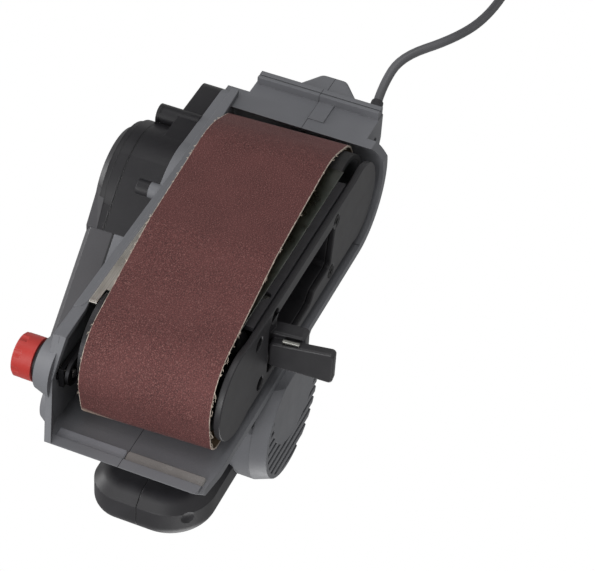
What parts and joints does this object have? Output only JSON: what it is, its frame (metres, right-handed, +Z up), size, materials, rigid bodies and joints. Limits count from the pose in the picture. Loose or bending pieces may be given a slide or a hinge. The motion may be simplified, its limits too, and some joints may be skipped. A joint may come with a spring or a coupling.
{
  "type": "belt sander",
  "caption": "Hand-held belt sander with its tension lever open and the abrasive belt loosened: hood, rear D-handle, front handle, side drive cover, tracking knob and mains lead.",
  "frame": {"origin": "middle of the lowest, flat part of the loose abrasive belt, on the surface it stands on", "axes": "+X towards the nose, +Y to the operator's left where the drive cover is, +Z up"},
  "size_m": [0.5914, 0.1793, 0.1593],
  "materials": {
    "housing_gray": "fine satin moulded texture",
    "black_plastic": "satin black moulding",
    "dark_plastic": "dark gray moulding",
    "soft_grip": "soft matt grip",
    "cord_rubber": "smooth flexible sheath",
    "red_plastic": "glossy red",
    "abrasive": "red-brown grit on cloth backing",
    "steel": "bright sheet and turned steel",
    "dark_steel": "blackened steel",
    "aluminium": "cast and turned",
    "roller_rubber": "matt black sleeve",
    "brass": "bright pins and segments"
  },
  "bodies": {
    "housing": {"platen": "steel", "side_frame": "black_plastic", "frame_block": "black_plastic", "frame_screws": "steel", "lever_pin": "steel", "drive_bearings": "steel", "layshaft_bearings": "steel", "toothed_belt": "roller_rubber", "stator": "steel", "brushes": "black_plastic", "motor_bearings": "steel", "switch": "black_plastic", "dust_outlet": "black_plastic", "cord_gland": "soft_grip", "housing_screws": "steel", "rear_grip": "soft_grip", "housing_right": "housing_gray", "housing_left": "housing_gray", "rear_handle_right": "housing_gray", "rear_handle_left": "housing_gray", "motor_cap": "housing_gray", "drive_cover": "black_plastic", "drive_case": "black_plastic", "cover_screws": "steel", "pulley_cover": "dark_plastic", "front_handle_right": "soft_grip", "front_handle_left": "soft_grip", "power_cord": "cord_rubber", "cord_coil": "cord_rubber", "cord_tie": "black_plastic", "plug": "black_plastic", "plug_pins": "brass"},
    "sanding_belt": {"sanding_belt": "abrasive"},
    "rotor": {"motor_shaft": "steel", "armature": "steel", "commutator": "brass", "fan": "black_plastic", "motor_pulley": "steel"},
    "layshaft": {"layshaft": "steel", "large_pulley": "aluminium"},
    "drive_roller": {"drive_shaft": "dark_steel", "drive_hub": "dark_steel", "roller_sleeve": "roller_rubber", "drive_gear": "steel"},
    "carriage": {"tension_yoke": "dark_steel", "tension_spring": "steel"},
    "tracking": {"tracking_arm": "dark_steel", "idler_axle": "dark_steel"},
    "idler": {"idler_roller": "aluminium", "idler_bearings": "dark_steel"},
    "knob": {"tracking_knob": "red_plastic", "knob_collar": "black_plastic", "knob_shaft": "steel"},
    "lever": {"tension_lever": "black_plastic", "lever_clip": "steel"},
    "trigger": {"trigger": "black_plastic"},
    "lock_button": {"lock_button": "red_plastic"}
  },
  "joints": [
    {"name": "rotor_spin", "type": "hinge", "parent": "housing", "child": "rotor", "pos_m": [0.022, 0, 0.112], "axis": [0, 1, 0], "continuous": true},
    {"name": "layshaft_spin", "type": "hinge", "parent": "housing", "child": "layshaft", "pos_m": [-0.06165, 0, 0.0515], "axis": [0, 1, 0], "continuous": true},
    {"name": "drive_roller_spin", "type": "hinge", "parent": "housing", "child": "drive_roller", "pos_m": [-0.0856, 0, 0.0393], "axis": [0, 1, 0], "continuous": true},
    {"name": "lever_swing", "type": "hinge", "parent": "housing", "child": "lever", "pos_m": [0.036, -0.04, 0.01], "axis": [0, 0, 1], "range_deg": [-84, 0]},
    {"name": "tension_slide", "type": "slide", "parent": "housing", "child": "carriage", "axis": [1, 0, 0], "range_m": [0, 0.0036]},
    {"name": "knob_turn", "type": "hinge", "parent": "carriage", "child": "knob", "pos_m": [0.109, 0, 0.0393], "axis": [0, 1, 0], "range_deg": [-60, 60]},
    {"name": "tracking_tilt", "type": "hinge", "parent": "carriage", "child": "tracking", "pos_m": [0.0795, -0.0422, 0.0393], "axis": [0, 0, 1], "range_deg": [-0.77, 0.77]},
    {"name": "idler_spin", "type": "hinge", "parent": "tracking", "child": "idler", "pos_m": [0.0795, 0, 0.0393], "axis": [0, 1, 0], "continuous": true},
    {"name": "trigger_pull", "type": "slide", "parent": "housing", "child": "trigger", "axis": [0, 0, 1], "range_m": [0, 0.005], "stiffness_N_per_m": 400, "springref_m": -0.006},
    {"name": "lock_button_press", "type": "slide", "parent": "housing", "child": "lock_button", "axis": [0, -1, 0], "range_m": [0, 0.003], "stiffness_N_per_m": 400, "springref_m": -0.004},
    {"name": "belt_slide_off", "type": "slide", "parent": "housing", "child": "sanding_belt", "axis": [0, -1, 0], "range_m": [0, 0.135]}
  ],
  "couplings": [
    {"joint": "layshaft_spin", "follows": "rotor_spin", "ratio": 0.31818},
    {"joint": "drive_roller_spin", "follows": "rotor_spin", "ratio": -0.13788},
    {"joint": "idler_spin", "follows": "rotor_spin", "ratio": -0.13788},
    {"joint": "lever_swing", "follows": "tension_slide", "rad_per_m": -407},
    {"joint": "knob_turn", "follows": "tracking_tilt", "ratio": -77.5}
  ]
}
